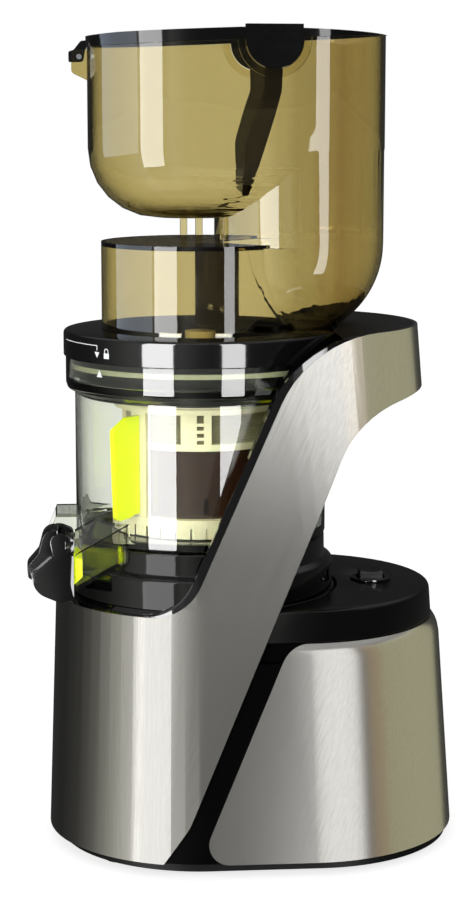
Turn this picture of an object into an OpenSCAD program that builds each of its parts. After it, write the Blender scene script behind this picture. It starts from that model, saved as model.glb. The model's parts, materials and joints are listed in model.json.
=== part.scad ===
// Vertical slow juicer: metal-skinned housing with two swept arms, clear bowl, bayonet lid and wide hopper.
// Origin: centre of the footprint box on the table plane. +Z up, -X is the spout side.

/* [Lid and arms] */
// Radius of the lid ring
ring_r = 81; // [78:0.5:84]
// Height of the lid ring
ring_h = 14.6; // [12:0.2:18]
// Free space between lid ring and arms
arm_gap = 0.8; // [0.6:0.1:1.6]
// Thinnest wall of the arm frame
liner_t = 2; // [1.6:0.1:3]
// Thickness of the metal skins
skin_t = 2.2; // [1.4:0.1:2.4]
// Slope of the front edge of the arms, degrees
arm_angle = 66.3; // [62:0.1:70]
// Slope of the rear edge of the arms, degrees
rear_angle = 67.6; // [65:0.1:70]
// Width of the black trim along the front edge of the arms
trim_w = 5; // [3:0.5:8]
// Height of the head side above the arm corner
head_drop = 46; // [40:1:52]
// Thickness of the head cover
cover_t = 2.4; // [2:0.1:4]

/* [Housing] */
// How much wider the housing is at the deck than at the head, per side
deck_flare = 1; // [0.5:0.1:2]
// How much wider the housing is at the bottom than at the deck, per side
base_flare = 5.4; // [3:0.2:7]
// Distance between the end arc centres at the bottom
base_len = 60.4; // [56:0.2:64]
// Distance between the end arc centres at the deck
deck_len = 55; // [52:0.2:58]
// Distance between the end arc centres at the head
head_len = 43; // [40:0.2:46]
// Height of the lower edge of the metal skins
skin_z = 8; // [6:0.5:10]
// Height of the deck and the front metal edge
deck_z = 151.5; // [146:0.5:158]
// Height of the top edge of the rear panel
panel_z = 135.5; // [130:0.5:138]
// Height of the motor cap above the rear panel
cap_h = 19; // [16:0.5:22]
// Wall thickness of the moulded housing parts
wall = 3; // [2.4:0.1:3.4]
// Width of the slanted gap between arm foot and rear panel
slant_gap = 13; // [10:0.5:16]
// Height of the rubber feet below the tray
foot_h = 2; // [1.5:0.1:3]
// Radius of a rubber foot
foot_r = 9; // [7:0.5:12]

/* [Switch] */
// Distance of the switch from the bowl axis
switch_x = 103; // [99:0.5:107]
// Radius of the switch bezel
bezel_r = 12.4; // [11.5:0.1:14]
// Length of the rocker button
rocker_l = 16.5; // [14:0.5:17]
// Width of the rocker button
rocker_w = 11; // [9:0.5:12]

/* [Bowl] */
// Outer radius of the bowl
bowl_r = 74.5; // [73:0.25:75.5]
// Wall thickness of the bowl
bowl_t = 2.6; // [2:0.1:3.2]
// Height of the seat under the bowl above the deck
seat_h = 34.5; // [32:0.5:38]
// Height of the bowl from its seat to the collar top
bowl_h = 107.5; // [102:0.5:112]
// Thickness of the bowl floor
floor_t = 4; // [3:0.2:5]
// Radius of the drive shaft
shaft_r = 6; // [5:0.25:7]
// Slope of the juice spout, degrees
spout_slope = 29; // [25:1:32]
// Width of the juice spout
spout_w = 38; // [34:1:40]
// Width of the pulp spout
pulp_w = 34; // [30:1:38]
// Wall thickness of the spouts
spout_t = 2.2; // [1.8:0.1:3]

/* [Juicing set] */
// Outer radius of the strainer
strainer_r = 46.5; // [45.5:0.1:46.8]
// Wall thickness of the strainer
strainer_t = 2; // [1.5:0.1:2.5]
// Free space between auger flight and strainer
auger_gap = 1; // [0.6:0.1:2]
// Thickness of the auger flight
flight_t = 5; // [4:0.2:7]
// Turns of the auger flight
flight_turns = 2.6; // [1.5:0.1:3.5]
// Tooth size of the bowl gears
bowl_module = 2.75; // [2.6:0.05:2.8]
// Number of mesh panels round the strainer
mesh_panels = 4; // [3:1:5]

/* [Hopper] */
// Radius of the dome on the lid
dome_r = 58.3; // [56:0.1:60]
// Height of the dome
dome_h = 51.5; // [48:0.5:56]
// Radius of the rounded front end of the hopper
front_r = 57.5; // [55:0.5:60]
// Radius of the feed chute at the rear end of the hopper
chute_r = 50; // [48:0.5:52]
// Centre of the front end from the bowl axis
front_x = -8; // [-12:0.5:-4]
// Centre of the feed chute from the bowl axis
chute_x = 58.5; // [56:0.5:61]
// Gap between dome and hopper bottom
under_gap = 14; // [10:0.5:18]
// Depth of the hopper at the bowl axis
hopper_h = 100.5; // [90:0.5:110]
// Wall thickness of the hopper
hopper_t = 2.6; // [2:0.1:3.4]
// Slope of the hopper rim, degrees
rim_tilt = 2.2; // [0:0.1:3]
// Thickness of the rim frame at its ends
frame_t = 3.4; // [3:0.1:5]
// Radius of the round tabs of the rim frame
tab_r = 16.2; // [14:0.2:18]
// Distance of the flap axis from the bowl axis
flap_x = 38.5; // [36:0.5:41]
// Length of the flap below its axis
flap_l = 82; // [70:1:84]

/* [Hidden] */
$fn = 96;
far = 200;             // longer than the object is wide
run = 0.3;             // gap between pieces that move past each other
fit = 0.05;            // radial running fit of a shaft
flush = 0.15;          // gap between a skin and what it covers

// Radii of the housing, worked out from the lid ring outwards
arm_bore = ring_r + arm_gap;
head_r = arm_bore + liner_t + skin_t;
deck_r = head_r + deck_flare;
base_r = deck_r + base_flare;
front_edge = base_r + 10;

// Heights
seat_z = deck_z + seat_h;
floor_z = seat_z + floor_t;
collar_z = seat_z + bowl_h;
ring_z = collar_z + run;
ring_top = ring_z + ring_h;
head_z = ring_top + 3;
dome_z = ring_top + dome_h;
hopper_z = dome_z + under_gap;
rim_z = hopper_z + hopper_h;
cap_z = panel_z + cap_h;

// The footprint box runs from the juice cap to the rear end of the rear panel
cap_front = -104;
rear_end = base_len + base_r;
axis_x = -(rear_end + cap_front) / 2;

// ---- Small helpers -------------------------------------------------------
// The housing sides lean in up to bend_z and stand almost upright above it
bend_z = deck_z + 5;
function half_width(z) = z < bend_z
    ? base_r + (deck_r - base_r) * (z - skin_z) / (bend_z - skin_z)
    : deck_r + (head_r - deck_r) * (z - bend_z) / (head_z - bend_z);
function centre_gap(z) = z < bend_z
    ? base_len + (deck_len - base_len) * (z - skin_z) / (bend_z - skin_z)
    : deck_len + (head_len - deck_len) * (z - bend_z) / (head_z - bend_z);

// Round off corner b of the path a-b-c with radius r in n steps
function corner(a, b, c, r, n) = r == 0 ? [b] :
    let (u = (a - b) / norm(a - b), v = (c - b) / norm(c - b), half = acos(u * v) / 2,
         mid = b + (u + v) / norm(u + v) * r / sin(half),
         p = b + u * r / tan(half) - mid, q = b + v * r / tan(half) - mid,
         turn = (atan2(q.y, q.x) - atan2(p.y, p.x) + 540) % 360 - 180)
    [for (i = [0:n]) mid + r * [cos(atan2(p.y, p.x) + turn * i / n), sin(atan2(p.y, p.x) + turn * i / n)]];
// A polygon from [x, z, radius] corners
function rounded(p, n = 10) = [for (i = [0:len(p) - 1])
    let (a = p[(i + len(p) - 1) % len(p)], b = p[i], c = p[(i + 1) % len(p)])
    each corner([a.x, a.y], [b.x, b.y], [c.x, c.y], b.z, n)];

// Everything is drawn about the bowl axis and then moved to the footprint centre
module on_axis() { translate([axis_x, 0, 0]) children(); }
// A side profile in X and Z, as wide as given
module side(points, width = 2 * far, mid = 0) {
    translate([0, mid, 0]) rotate([90, 0, 0]) linear_extrude(width, center = true) polygon(points);
}
// Plan outline round two circles of radius w at x0 and v at x1, with n steps on each end
function plan(w, v, x0, x1, n) = let (t = asin((w - v) / (x1 - x0))) [for (e = [0, 1], i = [0:n])
    let (a = 90 - t + e * (180 + 2 * t) + (180 + 2 * t * (1 - 2 * e)) * i / n)
    [(e == 0 ? x0 : x1) + (e == 0 ? w : v) * cos(a), (e == 0 ? w : v) * sin(a)]];
// Closed body through outlines of equal length, each with its height, lowest first
module skin(outlines, heights) {
    n = len(outlines[0]);
    top = (len(heights) - 1) * n;
    polyhedron([for (k = [0:len(heights) - 1], p = outlines[k]) [p.x, p.y, heights[k]]],
        concat([[for (i = [0:n - 1]) i], [for (i = [n - 1:-1:0]) top + i]],
            [for (k = [0:n:top - n], i = [0:n - 1]) let (b = (i + 1) % n) [k + i, k + n + i, k + n + b, k + b]]),
        convexity = 4);
}
// Housing body through the [height, inset] levels, lowest first
arc_steps = 36;
module loft(levels) {
    skin([for (l = levels) let (w = half_width(l.x) - l.y) plan(w, w, 0, centre_gap(l.x), arc_steps)],
        [for (l = levels) l.x]);
}
// The housing between any two heights, drawn in by inset
module body(inset = 0, z0 = skin_z, z1 = head_z) {
    loft(z0 < bend_z && z1 > bend_z ? [[z0, inset], [bend_z, inset], [z1, inset]] : [[z0, inset], [z1, inset]]);
}
module ring(r_out, r_in, z0, z1) {
    translate([0, 0, z0]) difference() {
        cylinder(h = z1 - z0, r = r_out);
        translate([0, 0, -1]) cylinder(h = z1 - z0 + 2, r = r_in);
    }
}
module disc(r, z0, z1) { translate([0, 0, z0]) cylinder(h = z1 - z0, r = r); }
// A straight-sided oval with its arcs at 0 and len
module oval(r, len, z0, z1) {
    disc(r, z0, z1);
    translate([len, 0, 0]) disc(r, z0, z1);
    translate([0, -r, z0]) cube([len, 2 * r, z1 - z0]);
}

// ---- Side profiles of the skins -----------------------------------------
function front_x_at(z) = arm_top_x + (z - head_z) / tan(arm_angle);
function rear_x_at(z) = arm_foot_x + (z - skin_z) / tan(rear_angle);
arm_top_x = 56.2;      // where the two straight upper edges would meet
arm_foot_x = -21.8;    // rear corner of the arm foot
low_bend = 32;         // bend between deck line and arm
high_bend = 63;        // bend between arm and head
under_bend = 50;       // bend between arm and head underside
foot_bend = 30;        // flare at the arm foot
under_z = head_z - head_drop;
under_rise = 0.2;      // slope of the head underside
function arm_outline(shift = 0) = rounded([
    [-front_edge, skin_z, 0], [-front_edge, deck_z, 0],
    [front_x_at(deck_z) - shift, deck_z, low_bend], [arm_top_x - shift, head_z, high_bend],
    [far, head_z, 0], [far, under_z + (far - rear_x_at(under_z)) * under_rise, 0],
    [rear_x_at(under_z), under_z, under_bend], [rear_x_at(skin_z + 22), skin_z + 22, foot_bend],
    [rear_x_at(skin_z) - 6, skin_z, 0]]);
function panel_x_at(z) = rear_x_at(z) + slant_gap / sin(rear_angle);
panel_outline = rounded([
    [panel_x_at(skin_z), skin_z, 12], [panel_x_at(panel_z), panel_z, 16], [far, panel_z, 0], [far, skin_z, 0]]);

// ---- Housing -------------------------------------------------------------
tray_inset = 7.4;      // the tray stands back under the front skin
tray_r = base_r - tray_inset;
tray_len = base_len + 4.4;
foot_spots = [[-52, -52], [-52, 52], [104, -50], [104, 50]];
screw_spots = [[-70, -20], [-70, 20], [20, -66], [20, 66], [118, -24], [118, 24]];
screw_r = 1.8;
boss_r = 5;
tray_floor = foot_h + wall;
tray_rim = skin_z + 6;
body_inset = skin_t + flush;
body_top = panel_z + 0.5;
shoulder_z = panel_z - 11;
shoulder_inset = skin_t + 3.8;
deck_out = arm_bore - run;             // outer radius of the deck
deck_under = deck_z - 3.5;
seat_r = bowl_r - 0.5;
tier_r = seat_r + 5;
tier_z = deck_z + 20.5;

module foot_pads() on_axis() color("#1b1b1c")
    for (p = foot_spots) translate([p.x, p.y, 0]) {
        disc(foot_r - 1, 0, foot_h + 1);
        disc(foot_r, foot_h - 1.2, foot_h);
    }

module base_tray() on_axis() color("#141415") difference() {
    union() {
        oval(tray_r, tray_len, foot_h, skin_z - run);
        oval(tray_r, base_len, skin_z - run, tray_rim);
    }
    oval(tray_r - wall, base_len, tray_floor, tray_rim + 1);
    for (p = foot_spots) translate([p.x, p.y, 0]) disc(foot_r - 1 + flush, 0, foot_h + 1);
    for (p = screw_spots) translate([p.x, p.y, 0]) {
        disc(screw_r + 0.3, 0, tray_floor + 1);
        disc(screw_r * 2 + 0.3, 0, foot_h + 1.4);
    }
    // cooling slots under the motor
    for (i = [-4:4]) translate([motor_x + i * 7, 0, 0])
        translate([-1.5, -22, 0]) cube([3, 44, tray_floor + 1]);
}

module base_screws() on_axis() color("#8f9296")
    for (p = screw_spots) translate([p.x, p.y, 0]) {
        disc(screw_r * 2, foot_h + 0.2, foot_h + 1.4);
        disc(screw_r, foot_h + 1.4, tray_rim + 4);
    }

module chassis() on_axis() color("#101011") difference() {
    union() {
        difference() {
            union() {
                loft([[skin_z, body_inset], [shoulder_z, body_inset], [shoulder_z + 0.5, shoulder_inset],
                    [body_top, shoulder_inset]]);
                disc(deck_out - 0.1, body_top, deck_under);
            }
            loft([[skin_z - 1, body_inset + wall], [shoulder_z - wall, body_inset + wall],
                [shoulder_z - wall + 0.5, shoulder_inset + wall], [body_top - wall, shoulder_inset + wall]]);
            disc(tower_r + 6, body_top - wall - 1, deck_under - wall);
        }
        for (p = screw_spots) translate([p.x, p.y, 0]) disc(boss_r, tray_floor, tray_rim + 8);
        for (p = screw_spots) boss_web(p);
        // ledge that the tray rim meets
        difference() {
            body(body_inset + 1, tray_rim, tray_rim + wall);
            oval(tray_r - wall, base_len, tray_rim - 1, tray_rim + wall + 1);
        }
    }
    for (p = screw_spots) translate([p.x, p.y, 0]) disc(screw_r, tray_floor - 1, tray_rim + 5);
    disc(tower_r + flush, deck_under - wall - 1, deck_under + 1);
    // opening for the switch and the slot for the gland
    translate([switch_x, 0, 0]) disc(bezel_r - 0.6, body_top - wall - 1, body_top + 1);
    gland_hole();
}
// Short web that ties a screw boss to the side of the housing
module boss_web(p) {
    out = p.x < 0 ? 180 : (abs(p.y) > 40 ? 90 * sign(p.y) : 0);
    reach = p.x < 0 ? 12.5 : (abs(p.y) > 40 ? 18.5 : 23.5);
    translate([p.x, p.y, tray_rim]) rotate([0, 0, out]) translate([boss_r - 1, -1.2, 0])
        cube([reach, 2.4, wall + 5]);
}

module front_wrap() on_axis() color("#b9b6b0") intersection() {
    difference() {
        body(0);
        body(skin_t, skin_z - 1, head_z + 1);
    }
    side(arm_outline());
}

module rear_panel() on_axis() color("#b5b2a4") intersection() {
    difference() {
        loft([[skin_z, 0], [panel_z - 10, 0], [panel_z - 6.5, 0.5], [panel_z - 3.5, 1.4], [panel_z - 1.3, 2.6],
            [panel_z, 4]]);
        loft([[skin_z - 1, skin_t], [panel_z - 10.5, skin_t], [panel_z - 5, skin_t + 1.2],
            [panel_z - 2.2, skin_t + 2.8], [panel_z + 1, skin_t + 3.7]]);
        gland_hole();
    }
    side(panel_outline);
}
module arm_frame() on_axis() color("#121213") difference() {
    union() {
        intersection() {
            body(body_inset, body_top, head_z - cover_t);
            side(arm_outline(trim_w));
        }
        // flush trim in front of the skin
        intersection() {
            body(0, deck_z + 0.4, head_z - cover_t);
            difference() {
                side(arm_outline(trim_w));
                side(arm_outline(flush));
            }
        }
    }
    disc(arm_bore, skin_z, head_z + 1);
    // hollow head, closed by its cover
    difference() {
        body(body_inset + wall, under_z + 17, head_z);
        disc(arm_bore + wall, 0, head_z + 1);
    }
}

module head_cover() on_axis() color("#1a1b1c") {
    difference() {
        intersection() {
            body(body_inset, head_z - cover_t, head_z);
            side(arm_outline(trim_w));
        }
        disc(arm_bore, 0, head_z + 1);
        // fine grooves along the outer edge
        for (a = [-66:4:66]) translate([head_len, 0, 0]) rotate([0, 0, a])
            translate([head_r - body_inset - 6, -0.6, head_z - 0.6]) cube([4.5, 1.2, 1]);
    }
}

cap_inset = 4.2;
module motor_cap() on_axis() color("#0d0d0e") difference() {
    loft([[body_top, cap_inset], [cap_z - 2.5, cap_inset], [cap_z - 1, cap_inset + 0.5], [cap_z, cap_inset + 1.6]]);
    disc(deck_out + 0.5, 0, far);
    side([[-far, 0], [rear_x_at(0) + 0.8, 0], [rear_x_at(far) + 0.8, far], [-far, far]]);
    intersection() {
        body(cap_inset + wall, body_top - 1, cap_z - wall);
        translate([deck_out + 0.5 + wall, -far, 0]) cube([far, 2 * far, 2 * far]);
    }
    translate([switch_x, 0, 0]) disc(bezel_r - 1.2, cap_z - wall - 1, cap_z + 1);
}

rocker_z = cap_z - 4.5;        // axis of the rocker button
small_pin_r = 1.5;             // hinge pins of rocker and rim
cap_pin_r = 1.6;               // hinge pin of the juice cap
module switch_bezel() on_axis() color("#161617") translate([switch_x, 0, 0]) difference() {
    union() {
        rotate_extrude() polygon(rounded([[0, cap_z, 0], [bezel_r, cap_z, 0.4], [bezel_r - 0.6, cap_z + 1.6, 0.6],
            [0, cap_z + 1.6, 0]], 4));
        disc(bezel_r - 1.2 - flush, body_top - wall - 8, cap_z + 0.1);
    }
    translate([-rocker_l / 2 - run, -rocker_w / 2 - run, cap_z - 9])
        cube([rocker_l + 2 * run, rocker_w + 2 * run, 12]);
    rotate([90, 0, 0]) translate([0, rocker_z, 0]) cylinder(h = rocker_w + 4, r = small_pin_r + fit, center = true);
}
module rocker_button() on_axis() color("#1c1c1e") translate([switch_x, 0, 0]) {
    half = rocker_l / 2 - 1.3;
    side(rounded([[-half, cap_z - 1.5, 0.5], [half, cap_z - 1.5, 0.5], [half, cap_z + 6, 0.8],
        [0, cap_z + 4.4, 20], [-half, cap_z + 6, 0.8]], 5), rocker_w);
    side(rounded([[-4, rocker_z - 2.5, 2], [4, rocker_z - 2.5, 2], [5, cap_z - 1, 0], [-5, cap_z - 1, 0]], 4),
        rocker_w - 1);
    rotate([90, 0, 0]) translate([0, rocker_z, 0]) cylinder(h = rocker_w + 3.4, r = small_pin_r, center = true);
}

module deck_ring() on_axis() color("#0e0e0f") difference() {
    rotate_extrude() polygon(rounded([[tower_r + 2, deck_under, 0], [deck_out, deck_under, 0],
        [deck_out, deck_z + 0.2, 1], [tier_r + 1, deck_z + 2.6, 0], [tier_r - 3, deck_z + 2.6, 0],
        [tier_r - 3, deck_under + wall, 0], [tower_r + 2, deck_under + wall, 0]], 4));
}
module bowl_seat() on_axis() color("#0f0f10") difference() {
    rotate_extrude() polygon(rounded([[tier_r - 3.3, deck_under + wall, 0], [tier_r - 3.3, deck_z + 2.9, 0],
        [tier_r, deck_z + 2.9, 0], [tier_r, tier_z - 1, 2.5], [seat_r + 0.2, tier_z + 1.5, 1], [seat_r, seat_z, 1.2],
        [tower_r + 6, seat_z, 0], [tower_r + 6, seat_z - 2, 0], [tower_r + flush, seat_z - 2, 0],
        [tower_r + flush, seat_z - wall - 2, 0], [seat_r - wall, seat_z - wall - 2, 3],
        [seat_r - wall, tier_z - wall, 0], [tier_r - 3.3 - wall, tier_z - wall - 2, 0],
        [tier_r - 3.3 - wall, deck_under + wall, 0]], 5));
    spout_notch();
}

gland_z = 26;
gland_r = 6;
module gland_hole() { translate([rear_end - 14, 0, gland_z]) rotate([0, 90, 0]) cylinder(h = 30, r = gland_r); }
module power_gland() on_axis() color("#18181a") {
    inner_x = half_width(gland_z) + centre_gap(gland_z) - body_inset - wall;
    translate([inner_x, 0, gland_z]) rotate([0, 90, 0]) difference() {
        union() {
            translate([0, 0, -2.8]) cylinder(h = body_inset + wall + 2.4, r = gland_r - flush);
            translate([0, 0, -2.8]) cylinder(h = 2, r = gland_r + 2);
        }
        translate([0, 0, -4]) cylinder(h = 20, r = gland_r - 2.4);
    }
}

// ---- Drive ---------------------------------------------------------------
// Two reduction stages run from the motor to the drive shaft in the bowl axis
out_teeth = 48;
low_teeth = 12;
out_module = 1.25;
fast_teeth = 12;
big_teeth = 60;
fast_module = 1;
cluster_x = (out_teeth + low_teeth) * out_module / 2;
motor_x = cluster_x + (fast_teeth + big_teeth) * fast_module / 2;
case_z = tray_floor;
low_gear_z = case_z + 8;
high_gear_z = low_gear_z + 14;
case_top = high_gear_z + 13;
gear_w = 9;
motor_z = case_top + wall + 4;
motor_h = 46;
stator_r = 40;
rotor_r = 22;
tower_r = 20;
axle_r = 3;
press_angle = 25;

function inv(a) = tan(a) * 180 / PI - a;
function flank(r, base) = r <= base ? 0 : inv(acos(base / r));
// Outline of a spur gear: teeth n, module m, addendum up, dedendum down, slack off each flank
function gear(n, m, up, down, slack, phase = 0) = let (
    rp = n * m / 2, base = rp * cos(press_angle),
    radii = [rp - down * m, rp - 0.45 * down * m, rp + 0.4 * up * m, rp + up * m],
    half = [for (r = radii) 90 / n - slack / rp * 180 / PI + flank(rp, base) - flank(r, base)])
    [for (i = [0:n - 1]) let (mid = phase + i * 360 / n) each concat(
        [for (k = [0:3]) radii[k] * [cos(mid - half[k]), sin(mid - half[k])]],
        [for (k = [3:-1:0]) radii[k] * [cos(mid + half[k]), sin(mid + half[k])]])];
module gear_wheel(n, m, z0, z1, bore, phase = 0, slack = 0.12) {
    translate([0, 0, z0]) linear_extrude(z1 - z0) difference() {
        polygon(gear(n, m, 0.85, 1.1, slack, phase));
        circle(bore);
    }
}

module gearbox_case() on_axis() color("#6f7276") difference() {
    union() {
        hull_plate(case_z, case_top, out_teeth * out_module / 2 + 9, big_teeth * fast_module / 2 + 8);
        translate([motor_x, 0, 0]) disc(14, case_z, case_top);
    }
    hull_plate(case_z + wall, case_top + 1, out_teeth * out_module / 2 + 5, big_teeth * fast_module / 2 + 4);
    translate([motor_x, 0, 0]) disc(fast_teeth * fast_module / 2 + 3, case_z + wall, case_top + 1);
    disc(bearing_r + flush, case_z + 0.8, case_z + wall + 1);
    translate([cluster_x, 0, 0]) disc(axle_r + fit, case_z + 0.8, case_z + wall + 1);
    translate([motor_x, 0, 0]) disc(axle_r + fit, case_z + 0.8, case_z + wall + 1);
}
module hull_plate(z0, z1, r_out, r_mid) {
    disc(r_out, z0, z1);
    translate([cluster_x, 0, 0]) disc(r_mid, z0, z1);
    translate([0, -r_mid * 0.8, z0]) cube([cluster_x, r_mid * 1.6, z1 - z0]);
}
bearing_r = 11;
module gearbox_lid() on_axis() color("#7a7d81") difference() {
    union() {
        hull_plate(case_top, case_top + wall, out_teeth * out_module / 2 + 9, big_teeth * fast_module / 2 + 8);
        translate([motor_x, 0, 0]) disc(14, case_top, case_top + wall);
        disc(tower_r, case_top + wall - 0.1, seat_z - 2);
        translate([motor_x, 0, 0]) ring(stator_r, stator_r - 6, case_top + wall - 0.1, motor_z);
        translate([motor_x - stator_r, -6, case_top]) cube([stator_r - 15, 12, wall]);
        translate([motor_x + 12, -6, case_top]) cube([stator_r - 13, 12, wall]);
    }
    disc(bearing_r - 2, case_top - 1, seat_z - 20);
    disc(bearing_r + flush, seat_z - 14, seat_z + 1);
    disc(shaft_r + 1, seat_z - 21, seat_z - 13);
    translate([cluster_x, 0, 0]) disc(axle_r + fit, case_top - 1, case_top + wall - 0.8);
    translate([motor_x, 0, 0]) disc(axle_r + fit, case_top - 1, case_top + wall + 1);
}

module motor_stator() on_axis() color("#8a8d90") translate([motor_x, 0, 0]) difference() {
    disc(stator_r, motor_z, motor_z + motor_h);
    disc(rotor_r + 0.6, motor_z - 1, motor_z + motor_h + 1);
    for (i = [0:7]) rotate([0, 0, i * 45]) translate([rotor_r + 4, -3, motor_z - 1]) cube([7, 6, motor_h + 2]);
}
module motor_windings() on_axis() color("#b06a35") translate([motor_x, 0, 0])
    for (i = [0:7]) rotate([0, 0, i * 45]) translate([rotor_r + 4.3, -2.7, motor_z - 3])
        cube([6.4, 5.4, motor_h + 6]);
module motor_rotor() on_axis() color("#9b9ea2") translate([motor_x, 0, 0]) {
    disc(rotor_r, motor_z + 2, motor_z + motor_h - 2);
    disc(axle_r, case_z + 1, motor_z + motor_h + 14);
    gear_wheel(fast_teeth, fast_module, high_gear_z, high_gear_z + gear_w, 1, 15);
}
module motor_fan() on_axis() color("#202022") translate([motor_x, 0, motor_z + motor_h + 5]) {
    ring(9, axle_r, 0, 8);
    for (i = [0:8]) rotate([0, 0, i * 40]) translate([8, -0.8, 0]) cube([18, 1.6, 7]);
    ring(27, 24, 0, 2);
}
module cluster_gear() on_axis() color("#d8cfae") translate([cluster_x, 0, 0]) {
    gear_wheel(big_teeth, fast_module, high_gear_z, high_gear_z + gear_w - 1, axle_r - 0.5, 0);
    gear_wheel(low_teeth, out_module, low_gear_z, high_gear_z, axle_r - 0.5, 0);
    disc(axle_r, case_z + 1, case_top + wall - 1);
}
module output_gear() on_axis() color("#c9c3a6")
    gear_wheel(out_teeth, out_module, low_gear_z, low_gear_z + gear_w, shaft_r, 3.75);
module drive_shaft() on_axis() color("#c5c8cb") {
    disc(shaft_r, case_z + 1, hex_z);
    translate([0, 0, hex_z - 0.1]) cylinder(h = hex_h, r = shaft_r, $fn = 6);
}
hex_z = floor_z + 1;
hex_h = 16;
module lower_bearing() on_axis() color("#aeb1b4") ring(bearing_r, shaft_r + fit, case_z + 0.8, case_z + wall + 3);
module upper_bearing() on_axis() color("#aeb1b4") ring(bearing_r, shaft_r + fit, seat_z - 14, seat_z - 7);
module shaft_seal() on_axis() color("#2a2a2c") ring(bearing_r, shaft_r + fit, seat_z - 6.6, seat_z - 3);
module control_board() on_axis() color("#2f5d3a") {
    translate([switch_x - 14, 20, shoulder_z - 12]) cube([34, 24, 1.6]);
    translate([switch_x - 8, 26, shoulder_z - 12]) disc(5, -14, 0.2);
    for (p = [[-12, 22], [14, 40]]) translate([switch_x + p.x, p.y, shoulder_z - 11])
        disc(2, 0, body_top - wall - shoulder_z + 11);
}

// ---- Bowl ----------------------------------------------------------------
bowl_in = bowl_r - bowl_t;
collar_r = ring_r - 1.2;
collar_low = collar_z - 16;
lip_low = collar_low - 4.5;
skirt_r = bowl_in - 0.5;
juice_y = -40;         // centre of the juice spout
juice_end = -76;       // mouth of the juice spout
juice_floor = deck_z + 11.5;   // floor of the juice spout at its mouth
juice_side = 19;       // height of the side walls, square to the floor
juice_roof = 28.5;     // height of the roof ridge, square to the floor
pulp_y = 34;
pulp_end = -86;
pulp_top = floor_z + 4;

module bowl() on_axis() color("#e8ecee", 0.35) difference() {
    rotate_extrude() polygon(rounded([[hub_r, seat_z, 0], [bowl_r - 2, seat_z, 0], [bowl_r, seat_z + 2, 1],
        [bowl_r, lip_low - 1, 1], [collar_r - 1, lip_low + 1.5, 1.5], [collar_r, collar_low, 1],
        [collar_r, collar_z, 0.6], [collar_r - bowl_t, collar_z, 0], [collar_r - bowl_t, collar_low + 3, 2],
        [bowl_in, collar_low - 1, 2], [bowl_in, floor_z, 3], [post_r + 26, floor_z, 0],
        [hub_r, floor_z, 0]], 5));
    intersection() {
        union() {
            juice_duct(spout_t, 60);
            pulp_duct(spout_t, 40);
        }
        disc(bowl_r + 1, floor_z, collar_low - 20);
        difference() {
            disc(bowl_r + 1, floor_z, collar_low);
            disc(bowl_in - 4, floor_z - 1, collar_low);
        }
    }
    for (s = [-1, 1]) translate([0, s * idler_y, 0]) disc(post_r, seat_z + 1, floor_z + 1);
}

// The sloped duct of the juice spout, from its mouth inwards
module juice_duct(inset, length) {
    translate([juice_end, juice_y, juice_floor]) rotate([0, -spout_slope, 0]) rotate([90, 0, 90])
        translate([0, 0, inset > 0 ? -30 : -25]) linear_extrude(length + 25)
            polygon([[-spout_w / 2 + inset, inset], [spout_w / 2 - inset, inset],
                [spout_w / 2 - inset, juice_side - inset * 0.4], [0, juice_roof - inset],
                [-spout_w / 2 + inset, juice_side - inset * 0.4]]);
}
// Everything outside the bowl wall
module outside_bowl(gap) {
    difference() {
        translate([-far, -far, 0]) cube([2 * far, 2 * far, far + deck_z]);
        disc(bowl_r + gap, -1, far + deck_z + 1);
    }
}
// Free space that the juice spout drops into when the bowl is set down
module spout_notch() {
    difference() {
        side([[juice_end - 1, juice_floor - 2 * run], [juice_end + 60, juice_floor - 2 * run + 60 * tan(spout_slope)],
            [juice_end + 60, far], [juice_end - 20, far], [juice_end - 20, juice_floor - 2 * run]],
            spout_w + 2 * run, juice_y);
        disc(bowl_r, 0, far);
    }
}
module juice_spout() on_axis() color("#e4e8d8", 0.4) difference() {
    intersection() {
        juice_duct(0, 70);
        outside_bowl(0);
        translate([juice_end, -far, 0]) cube([60, 2 * far, 2 * far]);
    }
    intersection() {
        juice_duct(spout_t, 80);
        union() {
            outside_bowl(spout_t);
            translate([-far, -far, floor_z]) cube([2 * far, 2 * far, far]);
        }
    }
}
module pulp_duct(inset, reach) {
    cut = inset > 0 ? 4 : 0;
    side([[pulp_end - cut, pulp_top - inset], [pulp_end - 9 - cut, pulp_top - 22 + inset],
        [pulp_end + reach, pulp_top - 16 + inset], [pulp_end + reach, pulp_top - inset]], pulp_w - 2 * inset, pulp_y);
}
module pulp_spout() on_axis() color("#e4e8ea", 0.35) difference() {
    intersection() {
        pulp_duct(0, 50);
        outside_bowl(0);
    }
    intersection() {
        pulp_duct(spout_t, 60);
        union() {
            outside_bowl(spout_t);
            translate([-far, -far, floor_z]) cube([2 * far, 2 * far, far]);
        }
    }
}

hub_r = shaft_r + 4;
module bowl_seal() on_axis() color("#dfe3e4") difference() {
    union() {
        ring(hub_r - flush, shaft_r + run, seat_z, floor_z + 0.1);
        ring(hub_r + 2, shaft_r + run, floor_z, floor_z + 0.4);
    }
}

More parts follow.
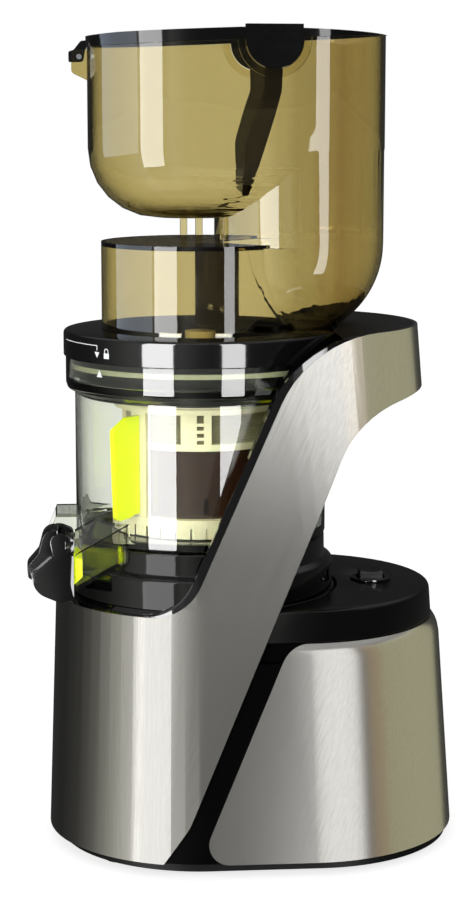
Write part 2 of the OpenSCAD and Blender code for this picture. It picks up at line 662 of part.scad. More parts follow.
pin_x = juice_end - 4;
pin_z = juice_floor + juice_roof / cos(spout_slope) - 6;
cap_w = spout_w - 2;
module juice_cap() on_axis() color("#0c0c0d") difference() {
    union() {
        // closing drum with its drip lip
        side(rounded([[juice_end - 1, pin_z - 6, 0], [juice_end - 1, juice_floor - 5, 3],
            [juice_end - 9, juice_floor - 7, 8], [cap_front + 5, juice_floor - 1, 12],
            [cap_front + 2.5, pin_z - 17, 4], [juice_end - 14, pin_z - 7, 5]], 6), cap_w, juice_y);
        // lever with its upper and lower thumb lobes
        side(rounded([[juice_end - 1.5, pin_z + 4.6, 1.5], [juice_end - 17, pin_z + 9.5, 7],
            [juice_end - 21, pin_z - 6, 4], [cap_front, pin_z - 14, 4], [cap_front + 1, pin_z - 22, 3],
            [juice_end - 8, pin_z - 16, 4], [juice_end - 5, pin_z - 5, 2]], 6), cap_w - 14, juice_y);
        // forks that grip the pin
        for (s = [-1, 1]) side(rounded([[juice_end - 0.6, pin_z + 3.6, 3.2], [juice_end - 0.6, pin_z - 4.5, 1.5],
            [juice_end - 12, pin_z - 9, 3], [juice_end - 16, pin_z + 8, 5], [juice_end - 6, pin_z + 6, 3]], 5),
            4, juice_y + s * (cap_w / 2 - 2));
    }
    translate([pin_x, juice_y, pin_z]) rotate([90, 0, 0]) cylinder(h = cap_w + 2, r = cap_pin_r + fit, center = true);
    // room for the pin lugs and the free end of the forks
    translate([pin_x - 6, juice_y - cap_w / 2 + 4.3, pin_z - 4]) cube([30, cap_w - 8.6, 30]);
    intersection() {
        juice_duct(-run, 60);
        translate([juice_end - 0.3, -far, 0]) cube([60, 2 * far, 2 * far]);
    }
}
module cap_pin() on_axis() color("#dfe3df", 0.6) {
    translate([pin_x, juice_y, pin_z]) rotate([90, 0, 0]) cylinder(h = cap_w, r = cap_pin_r, center = true);
    intersection() {
        side(rounded([[pin_x - 3, pin_z + 2.5, 2], [pin_x - 3, pin_z - 2.5, 2], [juice_end + 0, pin_z - 3, 0],
            [juice_end + 0, pin_z + 3, 0]], 4), 14, juice_y);
        translate([-far, -far, 0]) cube([far + juice_end, 2 * far, 2 * far]);
    }
}
module cap_plug() on_axis() color("#e2ef1c") intersection() {
    juice_duct(spout_t + 0.7, 60);
    outside_bowl(spout_t + 0.7);
    side([[juice_end - 1, juice_floor + 3], [juice_end - 1, pin_z - 7], [juice_end + 4, pin_z - 9],
        [juice_end + 4, juice_floor + 8]]);
}

// ---- Juicing set ---------------------------------------------------------
ring_teeth = 36;
sun_teeth = 12;
idler_teeth = 12;
idler_y = (sun_teeth + idler_teeth) * bowl_module / 2;
post_r = 4;
teeth_z = floor_z + 0.6;
teeth_top = floor_z + 6.6;
strainer_z = teeth_top + 1.6;
strainer_top = ring_z - 26.5;
cage_in = strainer_r + 0.7;
cage_out = ring_teeth * bowl_module / 2 + 3.2;
cage_top = strainer_top - 1;
mesh_z = strainer_top - 22;

// Upper frame of the strainer with mesh panels and small juice windows
module strainer() on_axis() color("#d9d4bd") difference() {
    union() {
        ring(strainer_r, strainer_r - strainer_t, mesh_z - 4, strainer_top);
        ring(strainer_r + 9, strainer_r - strainer_t, strainer_top, strainer_top + 2.5);
    }
    for (i = [0:mesh_panels - 1]) rotate([0, 0, i * 360 / mesh_panels - 86]) {
        intersection() {
            ring(strainer_r + 1, strainer_r - strainer_t - 1, mesh_z, strainer_top - 5);
            rotate_extrude(angle = 360 / mesh_panels - 22) square([strainer_r + 5, far * 2]);
        }
        for (k = [0:3]) rotate([0, 0, -8])
            translate([strainer_r - strainer_t - 1, -2, mesh_z + k * 4.2]) cube([strainer_t + 2, 4, k == 3 ? 4.6 : 2.4]);
    }
}
module strainer_mesh() on_axis() color("#b7b39c")
    ring(strainer_r - strainer_t, strainer_r - strainer_t - 0.4, mesh_z - 2, strainer_top - 3);
// Lower part of the strainer with the floor that the auger turns on
module strainer_skirt() on_axis() color("#3a2110") difference() {
    union() {
        ring(strainer_r, strainer_r - strainer_t - 0.4, strainer_z, mesh_z - 4);
        ring(strainer_r, neck_r + 1.2, strainer_z, strainer_z + 3);
    }
    for (i = [0:11]) rotate([0, 0, i * 30]) translate([strainer_r - 8, -1.5, strainer_z + 6]) cube([12, 3, 9]);
}
neck_r = 13;
// Auger: tapered core, one rising flight, bottom gear and hexagonal socket
flight_r = strainer_r - strainer_t - 0.4 - auger_gap;
auger_low = strainer_z + 3.5;
auger_high = ring_z + 3;
core_low = 30;
core_high = 17;
flight_steps = 26;
function core_at(z) = core_low + (core_high - core_low) * (z - auger_low) / (auger_high - auger_low);
function flight_z(t) = auger_low + flight_t / 2 + 0.3 + (auger_high - auger_low - flight_t - 4) * pow(t, 0.85);
function flight_end(t) = t < 0.88 ? flight_r : flight_r - (t - 0.88) * 110;
module auger_flight() {
    n = round(flight_turns * flight_steps);
    pts = [for (i = [0:n]) let (t = i / n, a = t * flight_turns * 360, z = flight_z(t), w = flight_t / 2)
        each [for (q = [[core_at(z) - 3, -w], [flight_end(t), -w * 0.5], [flight_end(t), w * 0.5], [core_at(z) - 3, w]])
            [q.x * cos(a), q.x * sin(a), z + q.y]]];
    sides = [for (i = [0:n - 1], k = [0:3]) let (a = i * 4 + k, b = i * 4 + (k + 1) % 4)
        each [[a, b, b + 4], [a, b + 4, a + 4]]];
    polyhedron(pts, concat([[0, 2, 1], [0, 3, 2]], [for (f = sides) [f[0], f[2], f[1]]],
        [[n * 4, n * 4 + 1, n * 4 + 2], [n * 4, n * 4 + 2, n * 4 + 3]]), convexity = 6);
}
module auger() on_axis() color("#2e1c12") difference() {
    union() {
        rotate_extrude() polygon(rounded([[0, teeth_top, 0], [neck_r, teeth_top, 0], [neck_r, auger_low, 0],
            [core_low, auger_low, 2], [core_high, auger_high - 2, 4], [top_pin_r, auger_high, 1],
            [top_pin_r, lid_floor + bush_depth - run, 1], [0, lid_floor + bush_depth - run, 0]], 5));
        auger_flight();
        gear_wheel(sun_teeth, bowl_module, teeth_z, teeth_top + 0.1, 1, 15);
    }
    translate([0, 0, teeth_z - 1]) cylinder(h = hex_z + hex_h + 1 - teeth_z, r = shaft_r + 0.25, $fn = 6);
    disc(shaft_r + 0.3, teeth_z - 1, hex_z + 0.5);
}
top_pin_r = 5.5;

// Wiper cage: ring gear, three posts and a top ring
post_angles = [221, 341, 101];
post_w = 12;           // width of a cage post
module wiper_ring() on_axis() color("#dcd8c6") difference() {
    union() {
        difference() {
            disc(cage_out, teeth_z, teeth_top + 5);
            translate([0, 0, teeth_z - 1]) linear_extrude(teeth_top - teeth_z + 1)
                polygon(gear(ring_teeth, bowl_module, 1.1 + 2 / bowl_module, 0.8, -0.12, 0));
            disc(cage_in, teeth_z - 2, teeth_top + 6);
        }
        ring(cage_in + 4, cage_in, cage_top - 3, cage_top);
        for (a = post_angles) rotate([0, 0, a]) intersection() {
            ring(cage_in + 3.8, cage_in + 0.2, teeth_top + 4, cage_top - 2);
            translate([cage_in - 3, -post_w / 2, teeth_top + 4]) cube([9, post_w, cage_top - teeth_top]);
        }
    }
    for (a = post_angles) rotate([0, 0, a]) translate([cage_in + 1.6, -1.2, teeth_top + 7])
        cube([6, 2.4, cage_top - teeth_top - 12]);
}
module wiper_blades() on_axis() color("#e4f01e")
    for (a = post_angles) rotate([0, 0, a]) {
        translate([cage_in + 1.7, -1.1, teeth_top + 7.1]) cube([2.4, 2.2, cage_top - teeth_top - 12.2]);
        side(rounded([[cage_in + 4.1, teeth_top + 7.1, 0], [bowl_in - 3, teeth_top + 4, 3], [bowl_in - 1, cage_top - 12, 3],
            [cage_in + 13, cage_top - 5.1, 4], [cage_in + 4.1, cage_top - 5.1, 0]], 5), 3.2);
    }
module idler(s) translate([0, s * idler_y, 0])
    gear_wheel(idler_teeth, bowl_module, teeth_z, teeth_top - run, post_r + fit, 0);
module idler_gear_a() on_axis() color("#cfc8ae") idler(-1);
module idler_gear_b() on_axis() color("#cfc8ae") idler(1);

// ---- Lid and hopper ------------------------------------------------------
lid_floor = ring_z + 4;
module lid_ring() on_axis() color("#0f0f11") difference() {
    rotate_extrude() polygon(rounded([[bush_r, lid_floor, 0], [skirt_r - 3, lid_floor, 0],
        [skirt_r - 3, strainer_top + 3, 0], [skirt_r, strainer_top + 3, 0.6], [skirt_r, collar_low + 2, 0],
        [collar_r - bowl_t - 0.5, collar_low + 5, 0], [collar_r - bowl_t - 0.5, ring_z, 0], [ring_r, ring_z, 0],
        [ring_r, ring_top, 2], [dome_r + 0.2, ring_top, 0], [dome_r + 0.2, ring_top - 3, 0],
        [dome_r - 4, ring_top - 3, 0], [dome_r - 4, lid_floor + 3, 0], [bush_r, lid_floor + 3, 0]], 4));
    // feed opening beside the bush
    intersection() {
        ring(dome_r - 8, bush_r + 5, lid_floor - 1, lid_floor + 4);
        rotate([0, 0, -75]) rotate_extrude(angle = 150) square([far, 2 * far]);
    }
    // groove of the seal
    ring(collar_r, collar_r - bowl_t - 1.7, ring_z - 7, ring_z - 4);
}
bush_r = 9;
bush_depth = 7;
module top_bush() on_axis() color("#e7e2d2") difference() {
    disc(bush_r, lid_floor, lid_floor + bush_depth + 2);
    disc(top_pin_r + fit, lid_floor - 1, lid_floor + bush_depth);
}
module lid_seal() on_axis() color("#c9cdca")
    ring(collar_r - bowl_t - 0.3, collar_r - bowl_t - 1.6, ring_z - 6.9, ring_z - 4.1);

bottom_round = 40;
elbow_r = 56;          // outer bend of the chute above the lid
elbow_x = chute_x + chute_r - elbow_r;
pot_over = 0.3;        // the open bowl stands this much outside the chute
// Open bowl of the hopper with its rounded bottom edge
module pots(inset) {
    b = bottom_round - inset;
    levels = concat([for (a = [0:15:90]) [hopper_z + inset + b * (1 - cos(a)), inset + b * (1 - sin(a))]],
        [[rim_z + 40, inset]]);
    skin([for (l = levels) plan(front_r - l.y, chute_r + pot_over - l.y, front_x, chute_x, 24)],
        [for (l = levels) l.x]);
}
// Straight chute, elbow and the dome it runs into
elbow_z = dome_z - 2;
elbow_under = 0.1;     // the elbow stands this much inside the chute
module chute(inset) {
    translate([chute_x, 0, 0]) disc(chute_r - inset, elbow_z, hopper_z + bottom_round);
    intersection() {
        translate([elbow_x, 0, elbow_z]) rotate([-90, 0, 0]) rotate_extrude() intersection() {
            translate([elbow_r - chute_r, 0]) circle(chute_r - elbow_under - inset);
            translate([0, -far]) square([far, 2 * far]);
        }
        translate([0, -far, ring_top]) cube([far, 2 * far, elbow_z - ring_top + 2 * elbow_under]);
    }
    disc(dome_r - inset, ring_top - (inset > 0 ? 4 : 3), dome_z - inset);
}
module hopper_form(inset) {
    pots(inset);
    chute(inset);
}
// Everything below the tilted rim plane, raised by up
module below_rim(up) {
    translate([0, 0, rim_z + up]) rotate([0, -rim_tilt, 0]) translate([-far, -far, -3 * far])
        cube([2 * far, 2 * far, 3 * far]);
}
wall_angle = asin((front_r - chute_r) / (chute_x - front_x));
tab_y = front_r / cos(wall_angle) - (flap_x - front_x) * tan(wall_angle);   // wall outside at the tabs
tab_z = rim_z + flap_x * tan(rim_tilt) - 0.5;
notch_r = tab_r + 0.5;
hinge_x = front_x - front_r - 4.6;
hinge_z = rim_z - 8;
module at_tab(s) translate([flap_x, s * tab_y, tab_z]) rotate([0, 0, -s * wall_angle]) children();
module hopper() on_axis() color("#8a7c3e", 0.45) difference() {
    union() {
        difference() {
            intersection() {
                hopper_form(0);
                below_rim(0);
            }
            hopper_form(hopper_t);
        }
        // raised beads round the two notches
        intersection() {
            for (s = [-1, 1]) at_tab(s) rotate([90, 0, 0]) cylinder(h = 5.2, r = notch_r + 4.4, center = true);
            below_rim(0);
            difference() {
                translate([-far, -far, 0]) cube([2 * far, 2 * far, 3 * far]);
                hopper_form(hopper_t);
            }
        }
        // ears of the rim hinge
        for (s = [-1, 1]) translate([0, s * 6, 0]) side(rounded([[hinge_x - 4.4, hinge_z + 4, 2],
            [hinge_x - 4.4, hinge_z - 9, 3], [front_x - front_r + 1.5, hinge_z - 14, 0],
            [front_x - front_r + 1.5, hinge_z + 4, 0]], 5), 3);
        // strut between dome and hopper bottom
        for (x = [-10, -1]) translate([x - 2, -8, dome_z - 0.5]) cube([4, 5, under_gap + 3]);
    }
    // neck that clears the head
    ring(far, ring_r - 0.4, ring_top - 1, head_z + 0.7);
    for (s = [-1, 1]) at_tab(s) rotate([90, 0, 0]) cylinder(h = 14, r = notch_r, center = true);
    for (s = [-1, 1]) at_tab(s) translate([-notch_r, -7, 0]) cube([2 * notch_r, 14, 30]);
    translate([hinge_x, 0, hinge_z]) rotate([90, 0, 0]) cylinder(h = 30, r = small_pin_r + fit, center = true);
}

crown_r = 1050;        // crown of the rim frame
crown_h = 3.4;
module rim_plan(inset) { polygon(plan(front_r - inset, chute_r + pot_over - inset, front_x, chute_x, 40)); }
module rim_frame() on_axis() color("#101012") difference() {
    union() {
        // crowned ring on the rim plane
        intersection() {
            translate([0, 0, rim_z + flush]) rotate([0, -rim_tilt, 0]) linear_extrude(frame_t + crown_h)
                difference() {
                    rim_plan(-0.6);
                    rim_plan(7);
                }
            translate([(front_x + chute_x) / 2, 0, rim_z + frame_t + crown_h + 0.9 - crown_r])
                rotate([90, -90 - rim_tilt, 0]) cylinder(h = 2 * far, r = crown_r, center = true, $fn = 360);
        }
        // round tabs in the notches
        for (s = [-1, 1]) at_tab(s) intersection() {
            union() {
                rotate([90, 0, 0]) cylinder(h = 5, r = tab_r, center = true);
                translate([-tab_r, -2.5, 0]) cube([2 * tab_r, 5, 8.5]);
            }
            translate([-far, -far, -far]) cube([2 * far, 2 * far, far + 8.5]);
        }
        // hinge arm with its thumb tab
        side(rounded([[hinge_x - 6, hinge_z + 3, 1], [hinge_x - 6, hinge_z - 3, 1], [hinge_x + 2.5, hinge_z - 3, 2],
            [hinge_x + 3.6, hinge_z + 4, 0], [front_x - front_r + 5, rim_z - 1.6, 0],
            [front_x - front_r + 5, rim_z + 2, 0], [hinge_x + 1, hinge_z + 9, 2], [hinge_x - 3, hinge_z + 4, 2]], 4),
            8);
    }
    // keep the arm clear of the wall top
    intersection() {
        hopper_outer_wall();
        below_rim(flush);
    }
    for (s = [-1, 1]) translate([flap_x, s * (tab_y - 2.5), flap_z]) rotate([90, 0, 0])
        cylinder(h = 5, r = pin_r + fit, center = true);
    translate([hinge_x, 0, hinge_z]) rotate([90, 0, 0]) cylinder(h = 30, r = small_pin_r + fit, center = true);
}
module hopper_outer_wall() {
    translate([front_x, 0, hinge_z - 20]) cylinder(h = 40, r = front_r + run);
}
module rim_pin() on_axis() color("#3a3a3c")
    translate([hinge_x, 0, hinge_z]) rotate([90, 0, 0]) cylinder(h = 15, r = small_pin_r, center = true);

flap_z = tab_z - 6;
pin_r = 3.5;
flap_half = chute_r - hopper_t - 2.6;
module flap() on_axis() color("#3d3417", 0.8) {
    intersection() {
        side(rounded([[flap_x + 5.5, flap_z + 4.5, 3], [flap_x - 5.5, flap_z + 4.5, 3], [flap_x - 5, flap_z - 22, 10],
            [flap_x - 15, flap_z - 52, 20], [flap_x - 15.5, flap_z - flap_l, 2], [flap_x - 11.5, flap_z - flap_l, 2],
            [flap_x - 4, flap_z - 56, 20], [flap_x + 5, flap_z - 22, 14]], 7));
        translate([flap_x, 0, 0]) rotate([90, 0, 90]) linear_extrude(80, center = true)
            polygon(rounded([[-flap_half, flap_z + 6, 0], [-flap_half, flap_z - 34, 30], [-20, flap_z - flap_l - 1, 16],
                [20, flap_z - flap_l - 1, 16], [flap_half, flap_z - 34, 30], [flap_half, flap_z + 6, 0]], 8));
    }
    for (s = [-1, 1]) translate([flap_x, s * (flap_half + tab_y - 1.5) / 2, flap_z]) rotate([90, 0, 0])
        cylinder(h = tab_y - 1.5 - flap_half + 2, r = pin_r, center = true);
}

foot_pads();
base_tray();
base_screws();
chassis();
front_wrap();
rear_panel();
arm_frame();
head_cover();
motor_cap();
switch_bezel();
rocker_button();
deck_ring();
bowl_seat();
power_gland();
motor_stator();
motor_windings();
motor_rotor();
motor_fan();
gearbox_case();
gearbox_lid();
cluster_gear();
output_gear();
drive_shaft();
lower_bearing();
upper_bearing();
shaft_seal();
control_board();
bowl();
juice_spout();
pulp_spout();
bowl_seal();
juice_cap();
cap_plug();
cap_pin();
strainer();
strainer_mesh();
strainer_skirt();
auger();
wiper_ring();
wiper_blades();
idler_gear_a();
idler_gear_b();
lid_ring();
lid_seal();
top_bush();
hopper();
rim_frame();
rim_pin();
flap();
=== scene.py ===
"""Looks of the slow juicer: brushed steel skins, gloss black mouldings, clear bowl, smoky hopper."""

import json
import math

import bpy
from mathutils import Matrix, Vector

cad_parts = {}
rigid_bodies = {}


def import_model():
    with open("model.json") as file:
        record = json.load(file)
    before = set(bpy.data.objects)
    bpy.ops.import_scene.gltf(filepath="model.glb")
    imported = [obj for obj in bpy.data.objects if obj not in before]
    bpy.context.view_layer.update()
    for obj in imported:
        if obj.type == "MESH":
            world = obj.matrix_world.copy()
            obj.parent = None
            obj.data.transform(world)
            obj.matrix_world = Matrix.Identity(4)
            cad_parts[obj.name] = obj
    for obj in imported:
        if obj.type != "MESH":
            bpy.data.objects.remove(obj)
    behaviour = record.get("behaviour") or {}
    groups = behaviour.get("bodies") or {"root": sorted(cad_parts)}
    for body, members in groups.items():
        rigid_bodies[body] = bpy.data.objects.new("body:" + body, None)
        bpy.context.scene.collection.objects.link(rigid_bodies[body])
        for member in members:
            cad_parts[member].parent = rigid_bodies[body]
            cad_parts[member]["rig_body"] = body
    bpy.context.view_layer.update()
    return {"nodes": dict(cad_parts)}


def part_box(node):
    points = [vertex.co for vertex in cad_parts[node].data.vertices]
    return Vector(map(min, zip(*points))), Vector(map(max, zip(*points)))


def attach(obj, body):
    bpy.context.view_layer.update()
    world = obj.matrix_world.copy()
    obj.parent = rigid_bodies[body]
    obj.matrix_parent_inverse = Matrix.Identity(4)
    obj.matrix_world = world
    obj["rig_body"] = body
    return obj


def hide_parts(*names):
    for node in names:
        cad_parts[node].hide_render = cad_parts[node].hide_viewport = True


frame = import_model()
NODES = frame["nodes"]
MM = 0.001
AXIS_X = -24.4 * MM        # the bowl axis stands this far in front of the footprint centre


# ---- Camera --------------------------------------------------------------
def make_camera():
    """A long lens at the height of the hopper, turned a little past the side of the juicer."""
    data = bpy.data.cameras.new("photo_camera")
    data.lens = 87.7
    data.sensor_width = 36
    data.clip_start, data.clip_end = 0.05, 60
    camera = bpy.data.objects.new("photo_camera", data)
    bpy.context.collection.objects.link(camera)
    camera.location = (-0.1127, -1.2972, 0.4424)
    camera.rotation_mode = "QUATERNION"
    camera.rotation_quaternion = Vector((0.0829, 0.9839, -0.1583)).to_track_quat("-Z", "Y")
    bpy.context.scene.camera = camera


make_camera()


# ---- Small helpers -------------------------------------------------------
def linear(hex_colour):
    """Linear RGBA of an sRGB hex colour."""
    parts = [int(hex_colour[i:i + 2], 16) / 255 for i in (1, 3, 5)]
    return [c / 12.92 if c <= 0.04045 else ((c + 0.055) / 1.055) ** 2.4 for c in parts] + [1.0]


def add(tree, kind, settings=None, inputs=None):
    """Adds a node: settings are its properties, inputs are values or the sockets that feed them."""
    made = tree.nodes.new(kind)
    for key, value in (settings or {}).items():
        if key == "stops":
            ramp = made.color_ramp
            while len(ramp.elements) < len(value):
                ramp.elements.new(0.5)
            for element, (place, colour) in zip(ramp.elements, value):
                element.position, element.color = place, colour
        else:
            setattr(made, key, value)
    for key, value in (inputs or {}).items():
        if isinstance(value, bpy.types.NodeSocket):
            tree.links.new(value, made.inputs[key])
        else:
            made.inputs[key].default_value = value
    return made


# ---- Materials -----------------------------------------------------------
# Each finish: two shades, metallic, roughness from and to, grain size and bump depth in mm, how much
# the grain is drawn out along X, Y, Z, and the shader's constant sockets. A clear finish also has depth,
# what a metre of it takes from red, green and blue. The smoky one has a painted shade along X that
# darkens its tint by place.
FINISHES = {
    # Injection moulded gloss ABS: deep black with a faint orange peel that softens the softboxes
    "gloss_black_abs": dict(shades=("#050506", "#09090A"), rough=(0.05, 0.10), grain=9, bump=0.012,
        sockets={"IOR": 1.5, "Specular IOR Level": 0.5, "Coat Weight": 0.5, "Coat Roughness": 0.03}),
    # ABS from a lightly blasted mould: black that turns dark grey where it faces the light
    "satin_black_abs": dict(shades=("#0A0A0B", "#0F0F10"), rough=(0.34, 0.46), grain=0.7, bump=0.02,
        sockets={"IOR": 1.5, "Specular IOR Level": 0.4}),
    # The same ABS deep in the gap between the skins, with painted shade: darker shades and a weaker
    # specular than the satin black, where hardly any light gets
    "shaded_black_abs": dict(shades=("#020203", "#040405"), rough=(0.4, 0.5), grain=0.7, bump=0.02,
        sockets={"IOR": 1.5, "Specular IOR Level": 0.12}),
    # Motor cap: satin top with a soft sheen
    "motor_cap_abs": dict(shades=("#070708", "#0B0B0C"), rough=(0.2, 0.28), grain=1.1, bump=0.012,
        sockets={"IOR": 1.5, "Coat Weight": 0.2, "Coat Roughness": 0.16}),
    # Moulded rubber: dull, slightly dusty
    "foot_rubber": dict(shades=("#161616", "#232324"), rough=(0.7, 0.85), grain=1.5, bump=0.04,
        sockets={"IOR": 1.45}),
    # Tinted copolyester, injection moulded and clear: smoky olive through each wall
    "smoky_copolyester": dict(shades=("#F0EAD2", "#EDE7CC"), rough=(0.0, 0.02), grain=25, bump=0.0,
        # painted shade: the stops below darken the hopper's tint by place along X
        clear=True, depth=(60, 78, 172), painted_shade_along=[(44, "#FFFFFF"), (52, "#ECEAE2"), (72, "#EAE7DC"),
            (77, "#E0D6C6"), (90, "#DED4C4"), (98, "#EEECE2")],
        sockets={"IOR": 1.5, "Transmission Weight": 1.0, "Coat Weight": 0.5, "Coat IOR": 1.6,
                 "Coat Roughness": 0.02}),
    # The flap is moulded thicker and in a darker shade
    "dark_copolyester": dict(shades=("#221A0E", "#19130A"), rough=(0.04, 0.1), grain=25, bump=0.0,
        sockets={"IOR": 1.5, "Transmission Weight": 0.3, "Coat Weight": 0.4, "Coat Roughness": 0.02}),
    # Clear copolyester: nearly colourless, with a faint green in the thick places
    "clear_copolyester": dict(shades=("#FAFBF7", "#F5F8F1"), rough=(0.0, 0.02), grain=25, bump=0.0,
        clear=True, depth=(7, 5, 12),
        sockets={"IOR": 1.5, "Transmission Weight": 1.0, "Coat Weight": 0.3, "Coat IOR": 1.6,
                 "Coat Roughness": 0.02}),
    # Polyetherimide: cream, slightly translucent, satin from the mould
    "cream_polyetherimide": dict(shades=("#D8D2B4", "#CFC8A6"), rough=(0.28, 0.4), grain=4, bump=0.01,
        sockets={"IOR": 1.6, "Subsurface Weight": 0.15, "Subsurface Scale": 0.004}),
    # The same resin in its dark amber grade, as the auger is moulded
    "amber_polyetherimide": dict(shades=("#22130B", "#2E1A0F"), rough=(0.1, 0.2), grain=6, bump=0.01,
        sockets={"IOR": 1.65, "Coat Weight": 0.5, "Coat Roughness": 0.05}),
    # Lime silicone wiper: even colour, soft edges of light
    "lime_silicone": dict(shades=("#E2F000", "#D4E400"), rough=(0.3, 0.42), grain=3, bump=0.02,
        sockets={"IOR": 1.42, "Subsurface Weight": 0.3, "Subsurface Scale": 0.006}),
    # Seal silicone with a painted olive cast, standing for the light that reaches it through the hopper above
    # it
    "seal_silicone": dict(shades=("#85866E", "#787962"), rough=(0.3, 0.45), grain=3, bump=0.02,
        sockets={"IOR": 1.42, "Subsurface Weight": 0.2, "Subsurface Scale": 0.004}),
    # Etched stainless sheet of the strainer
    "etched_steel": dict(shades=("#DAD7C0", "#C4C0A6"), metal=1, rough=(0.4, 0.55), grain=0.6, bump=0.01),
    # Ground and polished shaft
    "ground_steel": dict(shades=("#C8CACD", "#B4B7BA"), metal=1, rough=(0.12, 0.22), grain=0.5, bump=0.004,
        drawn=(1, 1, 0.03)),
    # Turned and laminated steel
    "lamination_steel": dict(shades=("#8E9296", "#777B80"), metal=1, rough=(0.35, 0.5), grain=0.5, bump=0.03,
        drawn=(0.02, 0.02, 1)),
    # Zinc plated screws
    "zinc_plate": dict(shades=("#9FA3A8", "#84888E"), metal=1, rough=(0.28, 0.4), grain=1.2, bump=0.01),
    # Pressure die cast aluminium: dull with a cold grain
    "cast_aluminium": dict(shades=("#7C8084", "#6A6E72"), metal=1, rough=(0.48, 0.62), grain=1.8, bump=0.05),
    # Enamelled copper wire, wound side by side
    "copper_wire": dict(shades=("#B4652E", "#8F4A1D"), metal=1, rough=(0.22, 0.34), grain=0.6, bump=0.08,
        drawn=(0.05, 0.05, 1)),
    # Acetal gears: milky, smooth
    "acetal": dict(shades=("#DDD8C4", "#D2CCB4"), rough=(0.3, 0.4), grain=3, bump=0.01,
        sockets={"IOR": 1.48, "Subsurface Weight": 0.1, "Subsurface Scale": 0.003}),
    # Glass laminate with green solder mask
    "circuit_board": dict(shades=("#23522F", "#1B4526"), rough=(0.25, 0.35), grain=2.4, bump=0.02,
        sockets={"IOR": 1.5}),
    # Pad printed white ink
    "white_print": dict(shades=("#F2F4F4", "#E6E9EA"), rough=(0.4, 0.5), grain=1, bump=0.004,
        sockets={"IOR": 1.5}),
}


PAINTED_SHADE_REACH = 100           # the places of the painted shade along X are millimetres up to this far from the bowl axis


def make_finish(name, shades, rough, grain, bump, metal=0, drawn=(1, 1, 1), clear=False, depth=None,
        painted_shade_along=None, sockets=None):
    """One material from its row in the table: a noise at the grain size varies shade, gloss and relief."""
    material = bpy.data.materials.new(name)
    material.use_nodes = True
    tree = material.node_tree
    tree.nodes.clear()
    place = add(tree, "ShaderNodeTexCoord").outputs["Object"]
    laid = add(tree, "ShaderNodeMapping", inputs={"Vector": place, "Scale": drawn})
    noise = add(tree, "ShaderNodeTexNoise", inputs={"Vector": laid.outputs["Vector"],
        "Scale": 1 / (grain * MM), "Detail": 3.0, "Roughness": 0.55})
    shade = add(tree, "ShaderNodeMix", {"data_type": "RGBA"},
        {"Factor": noise.outputs["Fac"], 6: linear(shades[0]), 7: linear(shades[1])})
    if painted_shade_along:
        # painted shade: the tint is darkened by place along X, at so many millimetres from the bowl axis
        parts = add(tree, "ShaderNodeSeparateXYZ", inputs={"Vector": place})
        reach = add(tree, "ShaderNodeMapRange", inputs={"Value": parts.outputs["X"], "From Min": AXIS_X,
            "From Max": AXIS_X + PAINTED_SHADE_REACH * MM})
        stops = [(x / PAINTED_SHADE_REACH, linear(c)) for x, c in painted_shade_along]
        painted_shade = add(tree, "ShaderNodeValToRGB", {"stops": stops}, {"Fac": reach.outputs["Result"]})
        shade = add(tree, "ShaderNodeMix", {"data_type": "RGBA", "blend_type": "MULTIPLY"},
            {"Factor": 1.0, 6: shade.outputs[2], 7: painted_shade.outputs["Color"]})
    gloss = add(tree, "ShaderNodeMapRange", inputs={"Value": noise.outputs["Fac"],
        "To Min": rough[0], "To Max": rough[1]})
    shader = add(tree, "ShaderNodeBsdfPrincipled", inputs={"Base Color": shade.outputs[2],
        "Metallic": metal, "Roughness": gloss.outputs["Result"], **(sockets or {})})
    if bump:
        relief = add(tree, "ShaderNodeBump", inputs={"Height": noise.outputs["Fac"], "Distance": bump * MM,
            "Strength": 1.0})
        tree.links.new(relief.outputs["Normal"], shader.inputs["Normal"])
    shown = shader.outputs["BSDF"]
    if clear:
        # light reaches what stands inside: the wall casts only a faint shadow
        rays = add(tree, "ShaderNodeLightPath")
        open_air = add(tree, "ShaderNodeBsdfTransparent", inputs={"Color": linear(shades[0])})
        mixed = add(tree, "ShaderNodeMixShader", inputs={0: rays.outputs["Is Shadow Ray"],
            1: shown, 2: open_air.outputs["BSDF"]})
        shown = mixed.outputs["Shader"]
    drawn_out = add(tree, "ShaderNodeOutputMaterial", inputs={"Surface": shown})
    if depth:
        # what a metre of the tinted resin takes from red, green and blue: thick places turn dark
        most = max(depth) / 0.95
        tint = add(tree, "ShaderNodeVolumeAbsorption", inputs={"Density": most,
            "Color": [1 - part / most for part in depth] + [1.0]})
        tree.links.new(tint.outputs["Volume"], drawn_out.inputs["Volume"])
    return material


ARM_LEAN = math.radians(23.7)
HAIR_GAP = 0.8 * MM        # the real hairlines are 0.1 mm apart, and are drawn wider so that they show
FRONT_ENDS = AXIS_X - 40 * MM       # the steel turns from front to arm between these two places
ARM_STARTS = AXIS_X - 12 * MM


